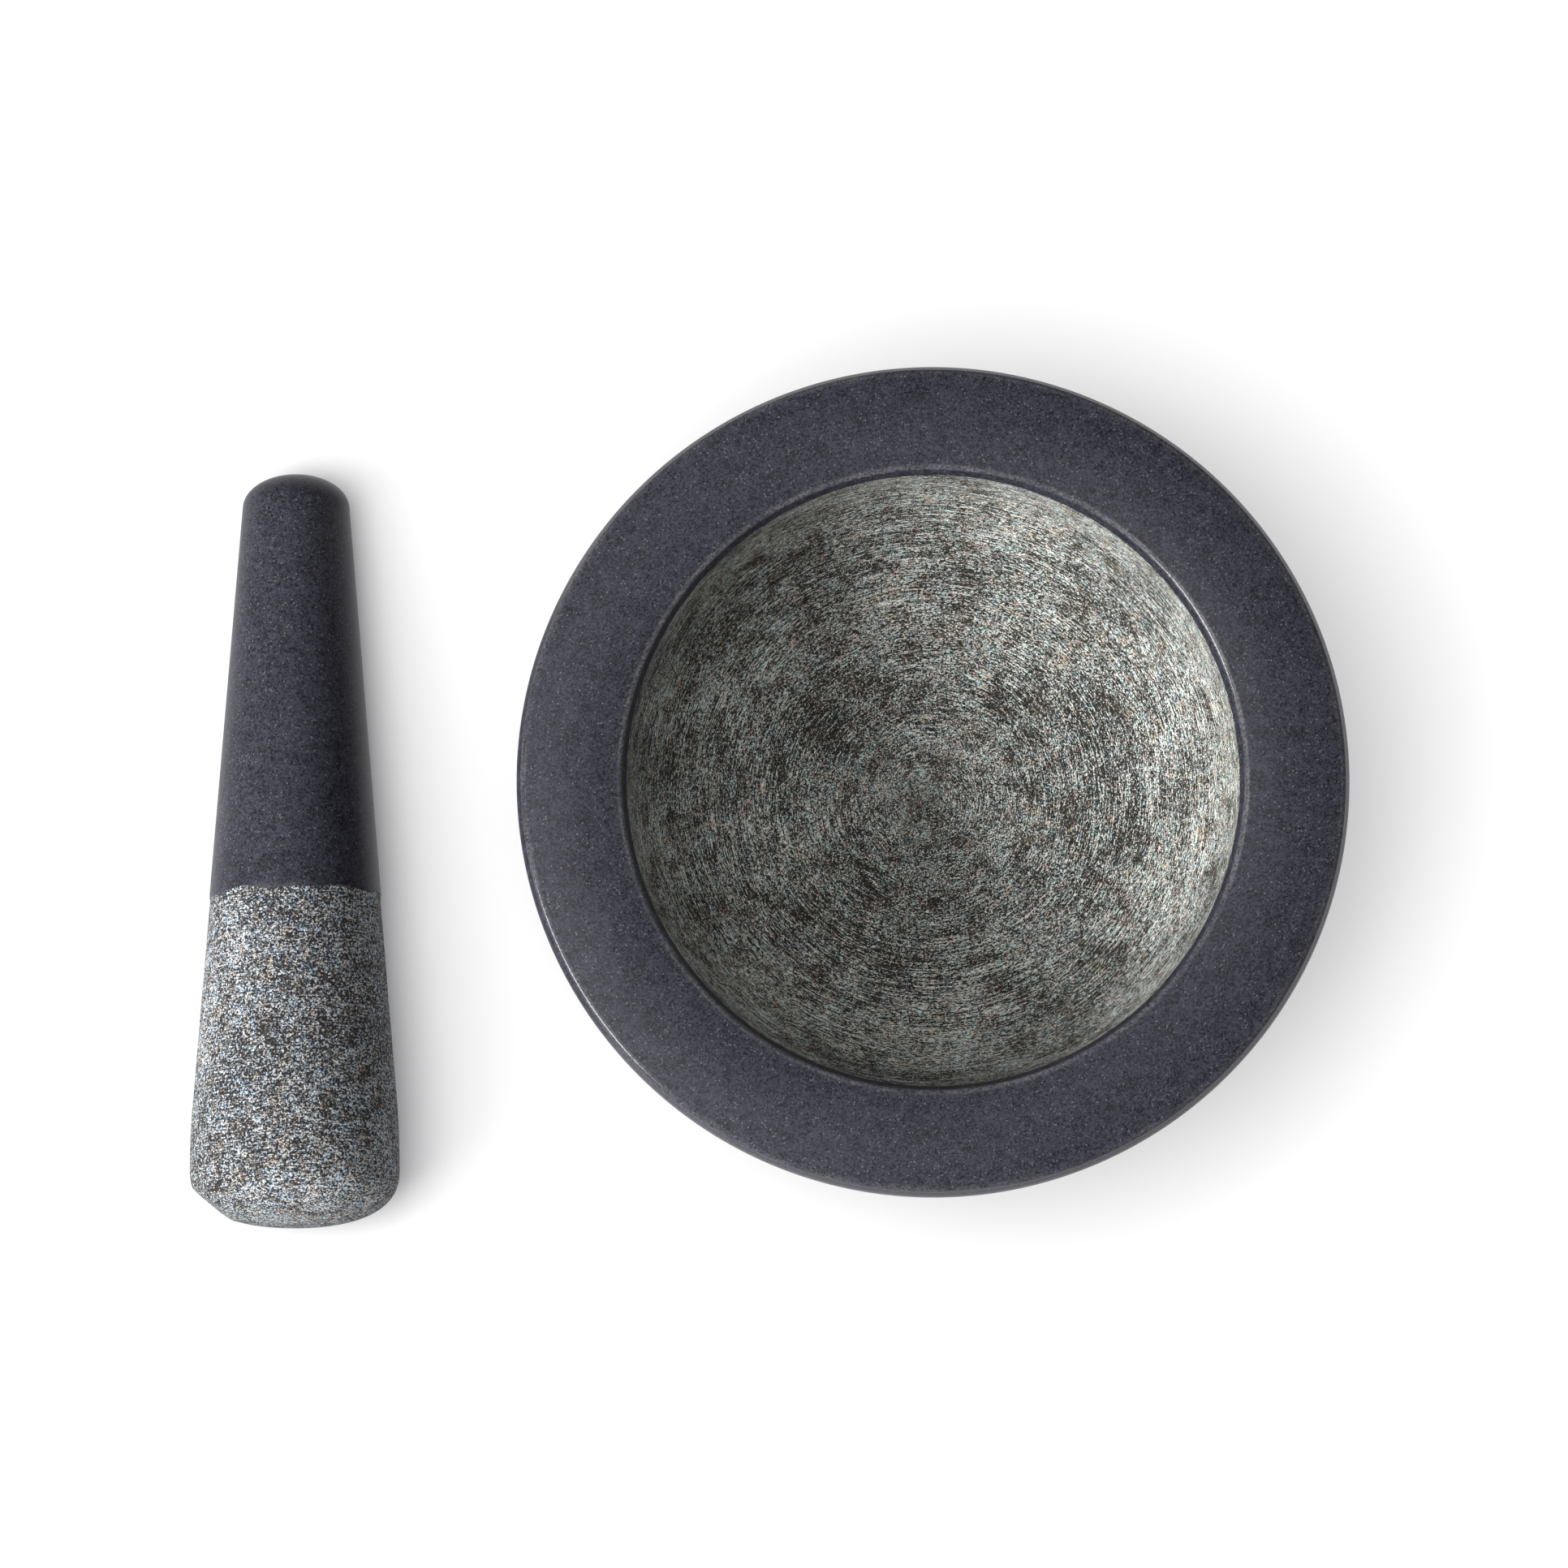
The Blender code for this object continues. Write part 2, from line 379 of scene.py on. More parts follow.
def vector_sum(tree, operation, inputs):
    """One Vector Math node."""
    return put(tree, "ShaderNodeVectorMath", inputs, operation=operation)


print("lathe inputs:", len(LATHE_INPUTS))


# %% The skin: a flat grid bent round the axis
SAME_POINT = 1e-6  # closes the seam and the two points on the axis


def bent_skin(tree, size):
    """One column for each step of the turn, one row for each outline point."""
    outline = size["Outline"]
    count = put(tree, "GeometryNodeAttributeDomainSize", {"Geometry": outline}).outputs["Point Count"]
    columns = sums(tree, "ADD", size["Turn Steps"], 1.0)
    grid = put(tree, "GeometryNodeMeshGrid", {"Vertices X": columns, "Vertices Y": count})
    number = put(tree, "GeometryNodeInputIndex").outputs[0]
    column = sums(tree, "FLOOR", sums(tree, "DIVIDE", sums(tree, "ADD", number, 0.5), count))
    row = sums(tree, "SUBTRACT", number, sums(tree, "MULTIPLY", column, count))

    outline_place = put(tree, "GeometryNodeInputPosition").outputs[0]
    point = sample_outline(tree, outline, row, outline_place, "FLOAT_VECTOR")
    run = sample_outline(tree, outline, row, stored(tree, "run"), "FLOAT")
    section = put(tree, "ShaderNodeSeparateXYZ", {"Vector": point}).outputs
    turn = sums(tree, "DIVIDE", sums(tree, "MULTIPLY", column, 2 * pi), size["Turn Steps"])
    across = sums(tree, "MULTIPLY", section["X"], sums(tree, "COSINE", turn))
    along = sums(tree, "MULTIPLY", section["X"], sums(tree, "SINE", turn))
    inputs = {"X": across, "Y": along, "Z": section["Z"]}
    place = put(tree, "ShaderNodeCombineXYZ", inputs).outputs[0]

    skin = store(tree, grid.outputs["Mesh"], "run", run, "FLOAT")
    skin = store(tree, skin, "lathe", place, "FLOAT_VECTOR")
    skin = put(tree, "GeometryNodeSetPosition", {"Geometry": skin, "Position": place}).outputs[0]
    inputs = {"Geometry": skin, "Distance": SAME_POINT}
    skin = put(tree, "GeometryNodeMergeByDistance", inputs).outputs[0]
    return put(tree, "GeometryNodeFlipFaces", {"Mesh": skin}).outputs[0]


print("skin ready")


# %% The marks: how deep the tool, the grit and the sway go
RING_DRIFT_SIZE = 0.02  # how far the rings keep their spacing before they wander
RING_DRIFT = 3.0  # how many pitches they wander
RING_PATCH_SIZE = 0.011  # size of the patches where rings show


def ground_share(tree, size, run):
    """1 where the stone is ground, 0 where it is honed, with a narrow slope between."""
    half = sums(tree, "MULTIPLY", size["Ground Edge"], 0.5)
    back = sums(tree, "MULTIPLY", half, -1.0)
    enters = remap(tree, sums(tree, "SUBTRACT", run, size["Ground From"]), back, half)
    leaves = remap(tree, sums(tree, "SUBTRACT", size["Ground To"], run), back, half)
    return sums(tree, "MULTIPLY", enters, leaves)


def ring_depth(tree, size, where, seeded, run):
    """Rings left by the tool, in patches, winding by one pitch on each turn."""
    flat = put(tree, "ShaderNodeSeparateXYZ", {"Vector": where}).outputs
    angle = sums(tree, "ARCTAN2", flat["Y"], flat["X"])
    drift = sums(tree, "MULTIPLY", noise(tree, seeded, RING_DRIFT_SIZE), RING_DRIFT)
    turns = sums(tree, "ADD", sums(tree, "DIVIDE", run, size["Ring Pitch"]), drift)
    wave = sums(tree, "SINE", sums(tree, "ADD", sums(tree, "MULTIPLY", turns, 2 * pi), angle))
    patch = remap(tree, noise(tree, seeded, RING_PATCH_SIZE), low=0.42, high=0.62)
    rings = sums(tree, "MULTIPLY", sums(tree, "MULTIPLY_ADD", wave, 0.5, 0.5), patch)
    return sums(tree, "MULTIPLY", rings, size["Ring Depth"])


def marked(tree, size, skin):
    """Push the skin in wherever stone is taken away."""
    where = put(tree, "GeometryNodeInputPosition").outputs[0]
    run = stored(tree, "run")
    seeded = vector_sum(tree, "ADD", {0: where, 1: size["Seed"]}).outputs[0]
    rings = ring_depth(tree, size, where, seeded, run)
    grit = noise(tree, seeded, size["Grit Size"], detail=3.0, roughness=0.6)
    grit = sums(tree, "MULTIPLY", grit, size["Grit Depth"])
    sway = noise(tree, seeded, size["Sway Size"], detail=1.0)
    sway = sums(tree, "MULTIPLY", sway, size["Sway Depth"])
    fine = sums(tree, "ADD", rings, grit)
    taken = sums(tree, "ADD", fine, sums(tree, "ADD", sway, size["Ground Step"]))
    taken = sums(tree, "MULTIPLY", taken, ground_share(tree, size, run))
    normal = put(tree, "GeometryNodeInputNormal").outputs["Normal"]
    inwards = sums(tree, "MULTIPLY", taken, -1.0)
    push = vector_sum(tree, "SCALE", {0: normal, "Scale": inwards}).outputs[0]
    return put(tree, "GeometryNodeSetPosition", {"Geometry": skin, "Offset": push}).outputs[0]


print("marks ready")

# %% The worn flat
RUBBED_SHARE = 0.88  # how much of what stands past a worn plane is taken off


def rubbed(tree, size, skin):
    """A worn flat: whatever stands past a plane is rubbed back nearly to it."""
    now = put(tree, "GeometryNodeInputPosition").outputs[0]
    facing = vector_sum(tree, "NORMALIZE", {0: size["Wear Facing"]}).outputs[0]
    reach = vector_sum(tree, "DOT_PRODUCT", {0: now, 1: facing}).outputs["Value"]
    excess = sums(tree, "MAXIMUM", sums(tree, "SUBTRACT", reach, size["Wear Reach"]), 0.0)
    back = sums(tree, "MULTIPLY", excess, -RUBBED_SHARE)
    rub = vector_sum(tree, "SCALE", {0: facing, "Scale": back}).outputs[0]
    return put(tree, "GeometryNodeSetPosition", {"Geometry": skin, "Offset": rub}).outputs[0]


print("worn flat ready")


# %% The lathe tree
def lathe_tree():
    """Bend, mark and rub the skin, and give it its stone."""
    outputs = [("Turned", "NodeSocketGeometry")]
    tree, given, result = new_group("lathe", "GeometryNodeTree", LATHE_INPUTS, outputs)
    size = {socket.name: socket for socket in given.outputs}
    skin = rubbed(tree, size, marked(tree, size, bent_skin(tree, size)))
    skin = put(tree, "GeometryNodeRealizeInstances", {"Geometry": skin}).outputs[0]
    skin = put(tree, "GeometryNodeSetShadeSmooth", {"Geometry": skin}).outputs[0]
    inputs = {"Geometry": skin, "Material": size["Stone"]}
    skin = put(tree, "GeometryNodeSetMaterial", inputs).outputs[0]
    tree.links.new(skin, result.inputs["Turned"])
    return tree


LATHE = lathe_tree()
print("lathe tree:", len(LATHE.nodes), "nodes")


# %% Turning a stone
MILLILITRES = 1e6  # in a cubic metre


def turned(name, path, material, lay=None, **sizes):
    """Turn the path on the lathe and give back a plain mesh object, laid down with lay if given."""
    wire = bpy.data.meshes.new(name + "_outline")
    edges = [(i, i + 1) for i in range(len(path) - 1)]
    wire.from_pydata([(r, 0.0, z) for r, z in path], edges, [])
    wire.attributes.new("run", "FLOAT", "POINT").data.foreach_set("value", measure_run(path))
    piece = bpy.data.objects.new(name, wire)
    bpy.context.scene.collection.objects.link(piece)

    lathe = piece.modifiers.new("lathe", "NODES")
    lathe.node_group = LATHE
    sockets = {s.name: s.identifier for s in LATHE.interface.items_tree if s.in_out == "INPUT"}
    for label, value in {**sizes, "Stone": material}.items():
        lathe[sockets[label]] = value
    evaluated = piece.evaluated_get(bpy.context.evaluated_depsgraph_get())
    mesh = bpy.data.meshes.new_from_object(evaluated)
    piece.modifiers.remove(lathe)
    piece.data = mesh
    mesh.name = name
    bpy.data.meshes.remove(wire)
    if lay:
        mesh.transform(lay)
    return piece


def volume(mesh):
    """Signed volume in millilitres: positive when the faces point outwards."""
    mesh.calc_loop_triangles()
    points = [v.co for v in mesh.vertices]
    total = 0.0
    for triangle in mesh.loop_triangles:
        a, b, c = (points[i] for i in triangle.vertices)
        total += a.dot(b.cross(c))
    return total / 6 * MILLILITRES


print("ready to turn")

# %% [markdown]
# ## Finishes
# Both stones are the same dark granite, but it shows two faces. Where it is honed, fine abrasive has
# closed the surface: it looks nearly black, a little blue, with a soft sheen and small specks. Where it
# is ground, the crystals are bruised and scatter light, so the same stone looks pale, with streaks that
# follow the tool, dark patches of brown mica and faint green and blue tints. An image texture could
# hold all this, but it would stretch over the bowl, so every mark is worked out from the place on the
# lathe. Five effects are shared: tool streaks, grain, blotches, the ground stretch and rubbed edges.
# Each is a node group that is built once and placed in a material with its own values.

# %% Tool streaks
def streaks_group():
    """Short marks along the turning direction: long one way, narrow the other, and the same all round."""
    tree, given, result = new_group(
        "tool_streaks",
        "ShaderNodeTree",
        [
            ("Place", "NodeSocketVector"),
            ("Run", "NodeSocketFloat"),
            ("Reach", "NodeSocketFloat", 0.05),
            ("Length", "NodeSocketFloat", 0.001),
            ("Width", "NodeSocketFloat", 0.0003),
            ("Slant", "NodeSocketFloat", 0.0),
            ("Low", "NodeSocketFloat", 0.36),
            ("High", "NodeSocketFloat", 0.64),
        ],
        [("Streaks", "NodeSocketFloat")],
    )
    size = {socket.name: socket for socket in given.outputs}
    flat = vector_sum(tree, "MULTIPLY", {0: size["Place"], 1: (1.0, 1.0, 0.0)}).outputs[0]
    facing = vector_sum(tree, "NORMALIZE", {0: flat}).outputs[0]
    twist = sums(tree, "DIVIDE", sums(tree, "MULTIPLY", size["Run"], size["Slant"]), size["Reach"])
    turn = put(tree, "ShaderNodeVectorRotate", {"Vector": facing, "Angle": twist}, rotation_type="Z_AXIS")
    stretch = sums(tree, "DIVIDE", size["Reach"], size["Length"])
    ring = vector_sum(tree, "SCALE", {0: turn.outputs[0], "Scale": stretch}).outputs[0]
    row = sums(tree, "DIVIDE", size["Run"], size["Width"])
    across = put(tree, "ShaderNodeCombineXYZ", {"Z": row}).outputs[0]
    at = vector_sum(tree, "ADD", {0: ring, 1: across}).outputs[0]
    inputs = {"Vector": at, "Scale": 1.0, "Detail": 1.5, "Roughness": 0.55}
    marks = put(tree, "ShaderNodeTexNoise", inputs).outputs["Fac"]
    tree.links.new(remap(tree, marks, size["Low"], size["High"]), result.inputs["Streaks"])
    return tree


STREAKS = streaks_group()
print("effect:", STREAKS.name)

# %% Grain
PALEST = 0.91  # a cell with a random value above this is a fleck
DARKEST = 0.90  # the same for a pit, with a value of its own


def grain_group():
    """Crystals: each small cell has its own shade, and about one in ten is a fleck and one in ten a pit."""
    tree, given, result = new_group(
        "grain",
        "ShaderNodeTree",
        [("Place", "NodeSocketVector"), ("Size", "NodeSocketFloat", 0.0005)],
        [("Grain", "NodeSocketFloat"), ("Flecks", "NodeSocketFloat"), ("Pits", "NodeSocketFloat")],
    )
    size = {socket.name: socket for socket in given.outputs}
    scale = sums(tree, "DIVIDE", 1.0, size["Size"])
    cells = put(tree, "ShaderNodeTexVoronoi", {"Vector": size["Place"], "Scale": scale, "Randomness": 1.0})
    shade = put(tree, "ShaderNodeSeparateColor", {"Color": cells.outputs["Color"]})
    finer = sums(tree, "MULTIPLY", size["Size"], 0.8)
    soft = noise(tree, size["Place"], finer, detail=2.0, roughness=0.6)
    soft = remap(tree, soft, low=0.36, high=0.64)
    grain = sums(tree, "MULTIPLY_ADD", shade.outputs["Red"], 0.45, sums(tree, "MULTIPLY", soft, 0.55))
    core = remap(tree, cells.outputs["Distance"], low=0.45, high=0.25)
    palest = sums(tree, "GREATER_THAN", shade.outputs["Green"], PALEST)
    darkest = sums(tree, "GREATER_THAN", shade.outputs["Blue"], DARKEST)
    flecks = sums(tree, "MULTIPLY", palest, core)
    pits = sums(tree, "MULTIPLY", darkest, core)
    tree.links.new(grain, result.inputs["Grain"])
    tree.links.new(flecks, result.inputs["Flecks"])
    tree.links.new(pits, result.inputs["Pits"])
    return tree


GRAIN = grain_group()
print("effect:", GRAIN.name)


# %% Blotches
def blotch_group():
    """Ragged patches: wherever a pattern with several octaves passes an amount."""
    tree, given, result = new_group(
        "blotches",
        "ShaderNodeTree",
        [
            ("Place", "NodeSocketVector"),
            ("Size", "NodeSocketFloat", 0.006),
            ("Amount", "NodeSocketFloat", 0.56),
            ("Softness", "NodeSocketFloat", 0.08),
        ],
        [("Mask", "NodeSocketFloat")],
    )
    size = {socket.name: socket for socket in given.outputs}
    ragged = noise(tree, size["Place"], size["Size"], detail=4.0, roughness=0.62)
    edge = sums(tree, "ADD", size["Amount"], size["Softness"])
    tree.links.new(remap(tree, ragged, size["Amount"], edge), result.inputs["Mask"])
    return tree


BLOTCHES = blotch_group()
print("effect:", BLOTCHES.name)

# %% The ground stretch
GROUND_CHANGE = 0.00012  # half the width over which honed stone turns to ground stone


def ground_group():
    """1 where the run lies in the ground stretch, 0 on honed stone, with a frayed change between."""
    tree, given, result = new_group(
        "ground_stretch",
        "ShaderNodeTree",
        [
            ("Place", "NodeSocketVector"),
            ("Run", "NodeSocketFloat"),
            ("From", "NodeSocketFloat"),
            ("To", "NodeSocketFloat"),
            ("Wander", "NodeSocketFloat", 0.001),
            ("Fray", "NodeSocketFloat", 0.0006),
        ],
        [("Ground", "NodeSocketFloat")],
    )
    size = {socket.name: socket for socket in given.outputs}
    slow = sums(tree, "SUBTRACT", noise(tree, size["Place"], size=0.014, detail=1.0), 0.5)
    quick = sums(tree, "SUBTRACT", noise(tree, size["Place"], size=0.0007), 0.5)
    shift = sums(tree, "MULTIPLY_ADD", slow, size["Wander"], sums(tree, "MULTIPLY", quick, size["Fray"]))
    run = sums(tree, "ADD", size["Run"], shift)
    enters = remap(tree, sums(tree, "SUBTRACT", run, size["From"]), -GROUND_CHANGE, GROUND_CHANGE)
    leaves = remap(tree, sums(tree, "SUBTRACT", size["To"], run), -GROUND_CHANGE, GROUND_CHANGE)
    tree.links.new(sums(tree, "MULTIPLY", enters, leaves), result.inputs["Ground"])
    return tree


GROUND = ground_group()
print("effect:", GROUND.name)


# %% Rubbed edges
def wear_group():
    """Rubbed edge: strongest at one run, gone a little way off, and broken up by the grain."""
    tree, given, result = new_group(
        "rubbed_edge",
        "ShaderNodeTree",
        [
            ("Place", "NodeSocketVector"),
            ("Run", "NodeSocketFloat"),
            ("At", "NodeSocketFloat"),
            ("Width", "NodeSocketFloat", 0.001),
        ],
        [("Wear", "NodeSocketFloat")],
    )
    size = {socket.name: socket for socket in given.outputs}
    away = sums(tree, "ABSOLUTE", sums(tree, "SUBTRACT", size["Run"], size["At"]))
    near = remap(tree, sums(tree, "DIVIDE", away, size["Width"]), 1.0, 0.25, smooth=True)
    chips = noise(tree, size["Place"], size=0.0006, detail=2.0, roughness=0.6)
    chips = remap(tree, chips, low=0.36, high=0.6, to_low=0.15)
    slow = remap(tree, noise(tree, size["Place"], size=0.009), low=0.3, high=0.6, to_low=0.35)
    broken = sums(tree, "MULTIPLY", chips, slow)
    tree.links.new(sums(tree, "MULTIPLY", near, broken), result.inputs["Wear"])
    return tree


WEAR = wear_group()
print("effect:", WEAR.name)

# %% [markdown]
# ## One stone, two faces
# The honed face and the ground face could be two materials on two sets of polygons, but then the change
# between them would be a clean line. On the real stones it is frayed. So each stone has one material
# that works out both faces everywhere and takes its share of each from the ground stretch.

# %% Helpers for a face
def use(tree, group, **inputs):
    """Place a shared effect in a material, with each input given by its name."""
    return put(tree, "ShaderNodeGroup", inputs, node_tree=group).outputs


def mix(tree, factor, a, b):
    """Mix two colours; gives the colour socket."""
    inputs = {0: factor, 6: a, 7: b}
    return put(tree, "ShaderNodeMix", inputs, data_type="RGBA", clamp_factor=True).outputs[2]


def brightness(tree, *terms):
    """Add up marks (0 to 1), each with its weight, around a middle of one half."""
    total = 0.5
    for mark, weight in terms:
        total = sums(tree, "MULTIPLY_ADD", sums(tree, "SUBTRACT", mark, 0.5), weight, total)
    return total


print("face helpers ready")

# %% Honed stone
HONED = {
    "dark": (0.0030, 0.0030, 0.0052, 1.0),
    "pale": (0.0320, 0.0320, 0.0450, 1.0),
    "fleck": (0.0900, 0.0900, 0.0950, 1.0),
    "pit": (0.0020, 0.0020, 0.0025, 1.0),
    # worn: pale edge colour, partly real wear and partly a painted highlight where the key light shines on
    # the rounded edges
    "worn": (0.1500, 0.1500, 0.1550, 1.0),
    "roughness": 0.42,
    "handled": 0.14,  # roughness where hands have polished an edge
    "polish": 2.5,  # the polish is this many times the wear, and at most 1
    "uneven": 0.10,  # how much the roughness changes from crystal to crystal
    "relief": 0.10,  # how high its grain stands, against the marks on ground stone
}


def honed_face(tree, place, run, edges):
    """Soft clouds, fine grain, faint turning lines and rubbed edges, whose pale colour is partly wear and
    partly a painted highlight; gives colour, roughness, height.
    """
    fine = use(tree, GRAIN, Place=place, Size=0.00048)
    clouds = use(tree, BLOTCHES, Place=place, Size=0.0035, Amount=0.36, Softness=0.28)["Mask"]
    lines = use(tree, STREAKS, Place=place, Run=run, Reach=0.07, Length=0.012, Width=0.0004)["Streaks"]
    level = brightness(tree, (fine["Grain"], 1.3), (clouds, 0.26), (lines, 0.12))
    colour = mix(tree, level, HONED["dark"], HONED["pale"])
    colour = mix(tree, sums(tree, "MULTIPLY", fine["Flecks"], 0.9), colour, HONED["fleck"])
    colour = mix(tree, fine["Pits"], colour, HONED["pit"])
    polish = 0.0
    for at, width, amount in edges:
        worn = use(tree, WEAR, Place=place, Run=run, At=at, Width=width)["Wear"]
        # painted highlight: the rubbed edges are made paler, partly for real wear and partly to stand in
        # for the light shining on them
        colour = mix(tree, sums(tree, "MULTIPLY", worn, amount), colour, HONED["worn"])
        rub = sums(tree, "MULTIPLY", worn, HONED["polish"], clamp=True)
        polish = sums(tree, "MAXIMUM", rub, polish)
    middle = HONED["roughness"] - HONED["uneven"] / 2
    sheen = sums(tree, "MULTIPLY_ADD", fine["Grain"], HONED["uneven"], middle)
    sheen = sums(tree, "MULTIPLY_ADD", polish, HONED["handled"] - HONED["roughness"], sheen)
    return colour, sheen, sums(tree, "MULTIPLY", fine["Grain"], HONED["relief"])


print("honed stone: roughness", HONED["roughness"], "and", HONED["handled"], "on handled edges")


# %% Ground stone
def tool_marks(tree, place, run, ground):
    """Bruised crystals, crossing tool strokes, and long arcs that show only in worked patches."""
    crystals = use(tree, GRAIN, Place=place, Size=ground["grain"])
    along = {"Place": place, "Run": run, "Reach": ground["reach"]}
    strokes = [
        use(tree, STREAKS, **along, Length=length, Width=width, Slant=slant)["Streaks"]
        for length, width, slant in ground["strokes"]
    ]
    arcs = use(tree, STREAKS, **along, Length=ground["arc"], Width=0.00030, Low=0.48, High=0.60)
    worked = use(tree, BLOTCHES, Place=place, Size=0.010, Amount=0.40, Softness=0.14)["Mask"]
    arcs = sums(tree, "MULTIPLY_ADD", sums(tree, "SUBTRACT", arcs["Streaks"], 0.5), worked, 0.5)
    terms = [(crystals["Grain"], ground["grain_weight"]), (arcs, ground["arc_weight"])]
    terms += zip(strokes, ground["stroke_weights"])
    return crystals, brightness(tree, *terms)


def ground_face(tree, place, run, ground):
    """Pale where the tool has bruised it, dark and brown in patches of mica; gives colour, height."""
    crystals, marks = tool_marks(tree, place, run, ground)
    patches = {"Size": ground["patch"], "Amount": ground["amount"], "Softness": 0.22}
    mica = use(tree, BLOTCHES, Place=place, **patches)["Mask"]
    drift = noise(tree, place, size=0.028)
    level = sums(tree, "MULTIPLY_ADD", mica, -ground["mica_weight"], marks)
    level = brightness(tree, (level, 1.0), (drift, 0.7))
    tints = use(tree, BLOTCHES, Place=place, Size=0.0016, Amount=0.40, Softness=0.2)["Mask"]
    rust = use(tree, BLOTCHES, Place=place, Size=0.0036, Amount=0.53, Softness=0.12)["Mask"]
    pale = mix(tree, tints, ground["cool"], ground["warm"])
    pale = mix(tree, sums(tree, "MULTIPLY", rust, 0.6), pale, ground["rust"])
    pale = mix(tree, sums(tree, "MULTIPLY", mica, 0.3), pale, ground["rust"])
    shade = mix(tree, mica, ground["shade"], ground["mica"])
    bruised = sums(tree, "POWER", remap(tree, level, low=0.17, high=1.05), 1.5)
    colour = mix(tree, bruised, shade, pale)
    colour = mix(tree, sums(tree, "MULTIPLY", crystals["Flecks"], 0.8), colour, ground["spark"])
    colour = mix(tree, sums(tree, "MULTIPLY", crystals["Pits"], 0.7), colour, ground["mica"])
    return colour, marks


print("ground stone ready")

# %% The finish of a whole stone
GROUND_ROUGHNESS = 0.8


def stone_finish(name, ground_from, ground_to, ground, wander, edges=()):
    """Granite that is ground between two runs and honed everywhere else, with rubbed edges."""
    material = bpy.data.materials.new(name)
    material.use_nodes = True
    tree = material.node_tree
    shader = tree.nodes["Principled BSDF"]
    shader.inputs["Specular IOR Level"].default_value = 0.2
    place = put(tree, "ShaderNodeAttribute", None, attribute_name="lathe").outputs["Vector"]
    run = put(tree, "ShaderNodeAttribute", None, attribute_name="run").outputs["Fac"]
    stretch = {"From": ground_from, "To": ground_to, "Wander": wander}
    is_ground = use(tree, GROUND, Place=place, Run=run, **stretch)["Ground"]
    honed, sheen, grain_height = honed_face(tree, place, run, edges)
    bruised, marks = ground_face(tree, place, run, ground)

    tree.links.new(mix(tree, is_ground, honed, bruised), shader.inputs["Base Color"])
    rougher = sums(tree, "SUBTRACT", GROUND_ROUGHNESS, sheen)
    tree.links.new(sums(tree, "MULTIPLY_ADD", is_ground, rougher, sheen), shader.inputs["Roughness"])
    higher = sums(tree, "SUBTRACT", marks, grain_height)
    height = sums(tree, "MULTIPLY_ADD", is_ground, higher, grain_height)
    bump = put(tree, "ShaderNodeBump", {"Strength": 0.8, "Distance": ground["relief"], "Height": height})
    tree.links.new(bump.outputs["Normal"], shader.inputs["Normal"])
    return material


print("finish ready")

# %% The bowl's ground stone
BOWL_GROUND = {  # each stroke is a length, a width and a slant
    "cool": (0.600, 0.715, 0.690, 1.0),
    "warm": (0.730, 0.680, 0.610, 1.0),
    "rust": (0.590, 0.440, 0.310, 1.0),
    "spark": (0.860, 0.890, 0.870, 1.0),
    "shade": (0.012, 0.013, 0.012, 1.0),
    "mica": (0.020, 0.016, 0.012, 1.0),
    "reach": 0.045,
    "strokes": [(0.0008, 0.00020, 0.08), (0.0009, 0.00020, 0.40), (0.0009, 0.00020, -0.34)],
    "stroke_weights": [0.4, 0.55, 0.55],
    "arc": 0.008,
    "arc_weight": 0.55,
    "grain": 0.00034,
    "grain_weight": 1.35,
    "patch": 0.0056,
    "amount": 0.48,
    "mica_weight": 0.36,
    "relief": 0.00013,
}
print("bowl: crystals", BOWL_GROUND["grain"] * 1000, "mm")

# %% The head's ground stone
HEAD_GROUND = {
    "cool": (0.350, 0.430, 0.500, 1.0),
    "warm": (0.450, 0.430, 0.400, 1.0),
    "rust": (0.370, 0.285, 0.210, 1.0),
    "spark": (0.580, 0.610, 0.640, 1.0),
    "shade": (0.008, 0.009, 0.011, 1.0),
    "mica": (0.016, 0.012, 0.009, 1.0),
    "reach": 0.02,
    "strokes": [(0.0006, 0.00036, 0.1), (0.003, 0.0003, 0.0)],
    "stroke_weights": [0.6, 0.2],
    "arc": 0.006,
    "arc_weight": 0.25,
    "grain": 0.00046,
    "grain_weight": 1.5,
    "patch": 0.0046,
    "amount": 0.49,
    "mica_weight": 0.30,
    "relief": 0.00013,
}
print("head: crystals", HEAD_GROUND["grain"] * 1000, "mm")

# %% The two stones' finishes
BEFORE_START, PAST_END = -1.0, 10.0  # runs that no outline reaches
BOWL_GROUND_END = bowl_run + 0.0004
# Each edge is made paler: partly real wear, partly a painted highlight of the key light on the rounded
# edge.
WORN_AND_HIGHLIT_EDGES = [  # run, width and paleness
    (mouth_run - LIP_ROUND * 0.5, 0.0010, 0.45),
    (brim_run - RIM_EDGE_ROUND, 0.0010, 0.25),
]
mortar_stone = stone_finish(
    "mortar_granite", BEFORE_START, BOWL_GROUND_END, BOWL_GROUND, wander=0.0004, edges=WORN_AND_HIGHLIT_EDGES
)
pestle_stone = stone_finish("pestle_granite", honed_run, PAST_END, HEAD_GROUND, wander=0.004)
print("finishes:", mortar_stone.name, pestle_stone.name)

# %% [markdown]
# ## The mortar
# The real mortar is one heavy block of stone. Its bowl is ground out, so that it grips what is crushed
# in it, and its rim and wall are honed. It could be a bowl shape with a solidified wall, but its wall is
# not even: it is thin at the mouth and thick at the floor. So the whole section is turned in one
# piece, with rings 1.3 mm apart in the bowl.

# %% Turn the mortar
mortar = turned(
    "turned_mortar",
    mortar_line,
    mortar_stone,
    **{
        "Turn Steps": 320,
        "Ground From": BEFORE_START,
        "Ground To": BOWL_GROUND_END,
        "Ring Pitch": 0.0013,
        "Seed": 3.0,
    },
)
print("mortar:", len(mortar.data.polygons), "faces,", round(volume(mortar.data), 1), "ml")

# %% [markdown]
# ## The pestle
# The real pestle is one tapered stone. Its handle half is honed to suit the hand, and its working half
# is ground like the bowl, with a corner of the head rubbed down by use. It is turned upright on the
# same lathe, with finer grit, and then laid down, so that the straight line of its taper rests on the
# table.

